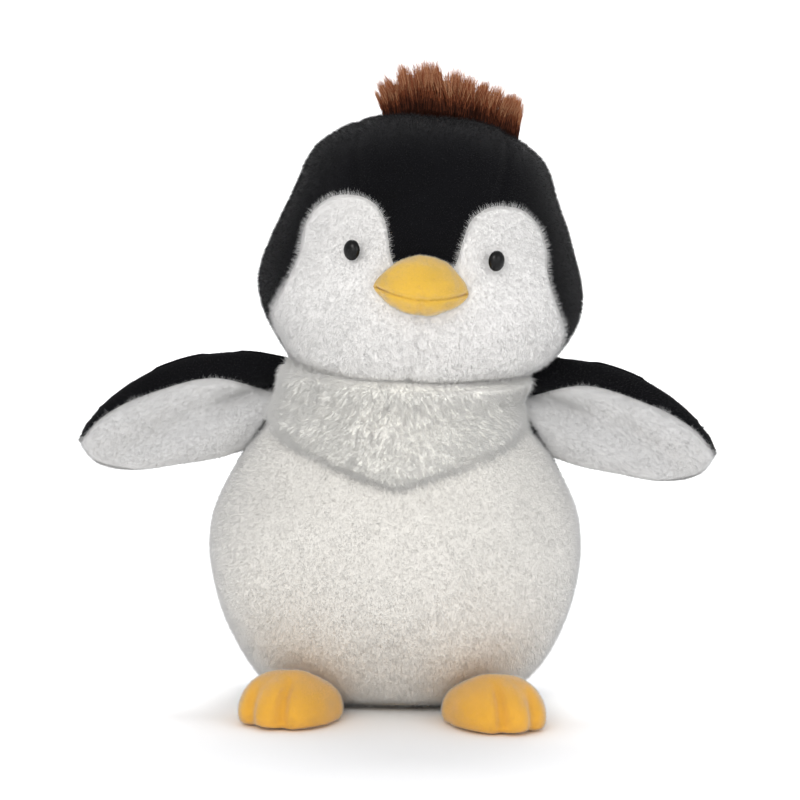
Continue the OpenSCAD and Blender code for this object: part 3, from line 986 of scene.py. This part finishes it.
def ride_wing(piece):
    """Bakes a wing piece's placement into its mesh."""
    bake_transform(piece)


def build_wings():
    for side, sign in (("right", 1), ("left", -1)):
        form, front = make_wing()
        if sign < 0:
            mirror(form)
        # The white front panels take the grey plush of painted shade
        parts = [(cut_out(form, f"wing_{side}_front_skin", front), "silver",
                  [f"wing_{side}_front", f"wing_{side}_stuffing"]),
                 (cut_out(form, f"wing_{side}_back_skin", ~front), "black",
                  [f"wing_{side}_back", f"wing_{side}_root"])]
        bpy.data.objects.remove(form)
        for number, (piece, colour, nodes) in enumerate(parts):
            seed = SEED + 40 + number + 5 * (sign > 0)
            finish_piece(piece, colour, nodes, lambda part: ride_wing(part), 0.6, seed,
                         (sign, 0, -0.35), lift=0.55)


# ---- Feet ----

FOOT_TURN = math.radians(14)
FOOT_HALF_W = 22.0
# The heel reaches this far back past the foot's seam, so that it stays joined to the belly
HEEL = 15.0
FOOT_HALF_L = (FOOT_HIGH[1] + HEEL - FOOT_LOW[1]) / 2 - 1.0
FOOT_X = (FOOT_LOW[0] + FOOT_HIGH[0]) / 2
FOOT_Y = (FOOT_LOW[1] + FOOT_HIGH[1] + HEEL) / 2
FOOT_TALL = FOOT_HIGH[2]
# The toes part on two sewn lines, this far to the left and right of the foot's middle
TOE_LINES = (-4.0, 11.0)


def foot_ring(t, columns):
    """Round a foot at a fraction of its height, with three toes in front."""
    angle = turn_angles(columns)
    front = np.maximum(0, np.cos(angle)) ** 0.5
    side = FOOT_HALF_W * np.sin(angle)
    toes = 1.03 - 0.08 * front * sum(bump(side, line, 3.5) for line in TOE_LINES)
    k = math.sqrt(max(0.0, 1 - t**2.8)) * (0.93 + 0.07 * min(1, t * 5))
    x, y = round_ring(angle, FOOT_HALF_W * k * toes, FOOT_HALF_L * k * toes)
    rise = smooth_line(-y / FOOT_HALF_L, [(-1, 0.6), (-0.3, 0.9), (0.2, 1.0), (1, 0.95)])
    return np.stack([x, y, 0.5 + t * (FOOT_TALL - 1.2) * rise], axis=1)


def toe_line(p):
    """Distance from the nearer of the two toe seams, in a foot's own frame."""
    return np.min([np.abs(p[:, 0] - line) for line in TOE_LINES], axis=0)


def make_foot():
    levels = np.sin(np.linspace(0, 1, 15) * math.pi / 2)[:-1]
    form = loft("foot_form", [foot_ring(t, 60) for t in levels])
    points = places(form)
    points[-1, 2] = FOOT_TALL - 1.5
    move_to(form, points)
    sewn = (toe_line(points) < 1.0) & (points[:, 1] < -4)
    stuff(form, sewn | (points[:, 2] < 1.5), 2.0, 3.0, 0.8, 12)
    points = places(form)
    deep = np.clip((-points[:, 1] - 10) / 14, 0, 1) * np.clip(points[:, 2] / 4, 0, 1)
    deep *= np.where(points[:, 0] > 4, 0.6, 1.0)
    sink(form, toe_line(points), 2.6 * deep, 2.2)
    points = places(form)
    c, s = math.cos(FOOT_TURN), math.sin(FOOT_TURN)
    x = FOOT_X + c * points[:, 0] - s * points[:, 1]
    y = FOOT_Y + s * points[:, 0] + c * points[:, 1]
    move_to(form, np.stack([x, y, np.maximum(points[:, 2], 0.25)], axis=1))
    return form


def ride_foot(piece):
    """Bakes a foot piece's placement into its mesh."""
    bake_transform(piece)


def build_feet():
    for side, sign in (("right", 1), ("left", -1)):
        form = make_foot()
        form.name = f"foot_{side}_skin"
        if sign < 0:
            mirror(form)
        nodes = [f"foot_{side}_top", f"foot_{side}_sole", f"foot_{side}_stuffing"]
        finish_piece(form, "orange", nodes, lambda part: ride_foot(part), 0.8,
                     SEED + 60 + (sign > 0), (0, -1, -0.4), where=lambda root: root[:, 2] > 1.2)


# ---- Beak ----

BEAK_HALF_W = (BEAK_HIGH[0] - BEAK_LOW[0]) / 2 + 0.6
BEAK_HALF_H = (BEAK_HIGH[2] - BEAK_LOW[2]) / 2
BEAK_Z = (BEAK_LOW[2] + BEAK_HIGH[2]) / 2
BEAK_BACK = BEAK_HIGH[1]


def beak_ring(u, columns):
    """Round the beak, from its front over the top, at a place across from -1 to 1."""
    angle = turn_angles(columns)
    k = (1 - abs(u) ** 1.9) ** 0.72
    back = BEAK_BACK + 3.5 * (1 - k)
    front = BEAK_LOW[1] + 0.8
    deep = np.where(np.cos(angle) > 0, back - front, 3.0) * k
    x = np.full(columns, u * BEAK_HALF_W)
    y = back - deep * np.sign(np.cos(angle)) * np.abs(np.cos(angle)) ** 0.9
    tall = BEAK_HALF_H * k * np.where(np.sin(angle) > 0, 1.08, 0.96)
    z = BEAK_Z - 1.5 * (1 - k) + tall * np.sin(angle)
    return np.stack([x, y, z], axis=1)


def mouth(p):
    """Height of a place on the beak above the sewn mouth line."""
    return p[:, 2] - (BEAK_Z - 5.0 + 3.6 * (np.abs(p[:, 0]) / BEAK_HALF_W) ** 1.6)


def build_beak():
    across = np.sin(np.linspace(-1, 1, 37) * math.pi / 2 * 0.985)
    form = loft("beak_form", [beak_ring(u, 44)[::-1] for u in across])
    points = places(form)
    front = points[:, 1] < BEAK_BACK - 1
    held = ((np.abs(mouth(points)) < 0.8) & front) | (points[:, 1] > BEAK_BACK)
    stuff(form, held, 1.2, 3.0, 0.7, 6)
    points = places(form)
    front = points[:, 1] < BEAK_BACK - 1
    sink(form, np.where(front, mouth(points), 99), 1.0, 0.9)
    points = places(form)
    pinch = np.hypot(points[:, 0] / 1.8, (mouth(points) + 3.5) / 4.0)
    sink(form, np.where(front, pinch, 99), 1.3, 1.0)
    upper = split_at(form, mouth)
    move_to(form, sit(places(form)))
    for name, chosen, nodes in (("beak_upper", upper, ["beak_upper", "beak_stuffing"]),
                                ("beak_lower", ~upper, ["beak_lower"])):
        piece = cut_out(form, f"{name}_skin", chosen)
        finish_piece(piece, "gold", nodes, lambda part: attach(part, "head"), 0.8,
                     SEED + 70 + (name == "beak_upper"), (0, -1, -0.3),
                     where=lambda root: root[:, 1] < BEAK_BACK + 1)
    bpy.data.objects.remove(form)


# ---- Eyes ----

def build_eyes():
    """Oval domes of black plastic, turned to face out of the head."""
    gloss = plastic_material("eye_gloss", (0.002, 0.002, 0.002), 0.3, 0.12)
    half_w, half_h, tall, tilt = 3.9, 4.7, 2.9, 0.25
    for side, sign in (("left", -1), ("right", 1)):
        turn = math.radians(21) * sign
        c, s = math.cos(turn), math.sin(turn)
        angle = turn_angles(32)
        rings = []
        for a in np.linspace(0, math.pi / 2, 13)[:-1]:
            across = half_w * math.cos(a) * np.cos(angle)
            up = half_h * math.cos(a) * np.sin(angle)
            out = np.full(32, tall * math.sin(a))
            rings.append(np.stack([across * c + out * s, across * s - out * c, up + tilt * out], axis=1))
        eye = loft(f"eye_{side}_dome", rings)
        points = places(eye)
        points[-1] = (tall * s, -tall * c, tilt * tall)
        points += np.array([sign * EYE_X, EYE_FRONT + 2.6, EYE_Z])
        move_to(eye, sit(points))
        refine(eye)
        eye.data.materials.append(gloss)
        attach(eye, "head")
        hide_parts(f"eye_{side}", f"eye_washer_{side}")


# ---- Hair ----

HAIR_TINTS = [fibre_material("hair_root", (0.035, 0.010, 0.005), 0.5, 0),
              fibre_material("hair_dark", (0.11, 0.030, 0.013), 0.45, 0),
              fibre_material("hair_mid", (0.28, 0.085, 0.036), 0.45, 0),
              fibre_material("hair_tip", (0.56, 0.27, 0.14), 0.45, 0)]
# Length of the hair by place across the tuft, from -1 on the left to 1 on the right
HAIR_TALL = [(-1, 18), (-0.83, 24), (-0.55, 29), (-0.38, 32), (-0.1, 29), (0.35, 25), (0.69, 24),
             (0.95, 25.5), (1, 21)]
CROWN_SHIFT = HEAD_SHIFT + (HEAD_TOP - NECK_Z) * math.sin(HEAD_LEAN)
HAIR_MIDDLE = (HAIR_LOW[0] + HAIR_HIGH[0]) / 2 - CROWN_SHIFT + 1.5
HAIR_HALF_W = (HAIR_HIGH[0] - HAIR_LOW[0]) / 2
HAIR_HALF_D = 7.0


def build_hair():
    """A tuft of long pile in clumps, dark at the foot and tan at the tips."""
    rng = np.random.default_rng(SEED + 80)
    strands = 7000
    clumps = 60
    x = rng.uniform(-1, 1, strands)
    y = rng.uniform(-1, 1, strands) * np.sqrt(1 - x**2 * 0.7)
    root_x = HAIR_MIDDLE + x * HAIR_HALF_W * 0.96
    half, height = np.array(HEAD_OUTLINE[:8:-1]).T
    root_z = np.interp(np.abs(root_x), half, NECK_Z + height) - 2.5
    root = np.stack([root_x, y * HAIR_HALF_D, root_z], axis=1)
    clump_x = np.sort(rng.uniform(-1, 1, clumps))
    clump_lean = rng.normal(0, 0.08, clumps)
    clump_long = rng.uniform(0.86, 1.04, clumps)
    nearest = np.abs(x[:, None] + rng.normal(0, 0.02, (strands, 1)) - clump_x[None]).argmin(axis=1)
    length = smooth_line(x, HAIR_TALL) * clump_long[nearest] * rng.uniform(0.7, 1.05, strands)
    lean = x * 0.10 - 0.05 + clump_lean[nearest] + rng.normal(0, 0.05, strands)
    toward = (clump_x[nearest] - x) * 0.35
    back = rng.normal(0, 0.10, strands) * length + y * 2.0
    reach = np.stack([(lean + toward) * length, back, length], axis=1)
    droop = np.stack([(x * 0.14 + clump_lean[nearest]) * length,
                      rng.normal(-0.06, 0.1, strands) * length,
                      -0.05 * length * (1 + np.abs(x))], axis=1)
    limit = HAIR_HIGH[2] + 7
    reach[:, 2] -= np.maximum(0, root[:, 2] + reach[:, 2] + droop[:, 2] - limit)
    levels = 5
    hair = spikes("hair_tuft_pile", root, reach, 0.17, levels, HAIR_TINTS, np.zeros(strands, int),
                  droop)
    move_to(hair, sit(places(hair)))
    shade_by_height(hair, strands, levels, rng)
    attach(hair, "head")
    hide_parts("hair_tuft")


def shade_by_height(hair, strands, levels, rng):
    """Gives each strand dark, middle and light stretches from root to tip."""
    tone = rng.integers(0, 2, strands)
    slots = [np.clip(step + (tone - 1) * (step > 0), 0, 3) for step in range(levels - 1)]
    quads = np.repeat(np.stack(slots, axis=1), 3, axis=1).reshape(-1)
    tips = np.stack([2 + tone] * 3 + [np.zeros(strands, int)], axis=1).reshape(-1)
    hair.data.polygons.foreach_set("material_index", np.concatenate([quads, tips]).astype(np.int32))
    hair.data.update()


# ---- Care label and hidden pieces ----

def build_label():
    """A blank satin label that hangs from the centre back seam."""
    wide = LABEL_HIGH[0] - LABEL_LOW[0]
    tall = LABEL_HIGH[2] - LABEL_LOW[2]
    across = np.linspace(-0.5, 0.5, 13)
    grid = []
    for t in np.linspace(0, 1, 19):
        y = LABEL_HIGH[1] - 1.2 + 1.6 * t + 0.5 * np.sin(across * 5 + 2 * t) * t
        grid.append(np.stack([across * wide, y, np.full(13, LABEL_LOW[2] + tall * (1 - t))], axis=1))
    label = sheet_mesh("care_label_sheet", np.array(grid))
    thicken = label.modifiers.new("thicken", "SOLIDIFY")
    thicken.thickness = 0.3 * MM
    apply_modifiers(label)
    label.data.materials.append(woven_material("label_satin", (0.62, 0.62, 0.60), 900.0, 0.5, 0.1))
    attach(label, "root")
    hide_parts("care_label")


def finish_hidden():
    """The bag of pellets stays inside and keeps its CAD shape."""
    mesh = frame["nodes"]["pellet_bag"].data
    mesh.materials.clear()
    mesh.materials.append(woven_material("bag_cloth", (0.52, 0.42, 0.28), 500.0, 0.9, 0.1))


def build():
    add_camera()
    add_light()
    add_floor()
    for number, (piece, colour, nodes) in enumerate(make_head()):
        finish_piece(piece, colour, nodes, ride_head, 0.85, SEED + number, (0, 0.2, -1))
    for number, (piece, colour, nodes) in enumerate(make_body()):
        finish_piece(piece, colour, nodes, ride_chest, 0.85, SEED + 10 + number, (0, 0, -1))
    build_ruff()
    build_wings()
    build_feet()
    build_beak()
    build_eyes()
    build_hair()
    build_label()
    finish_hidden()


build()
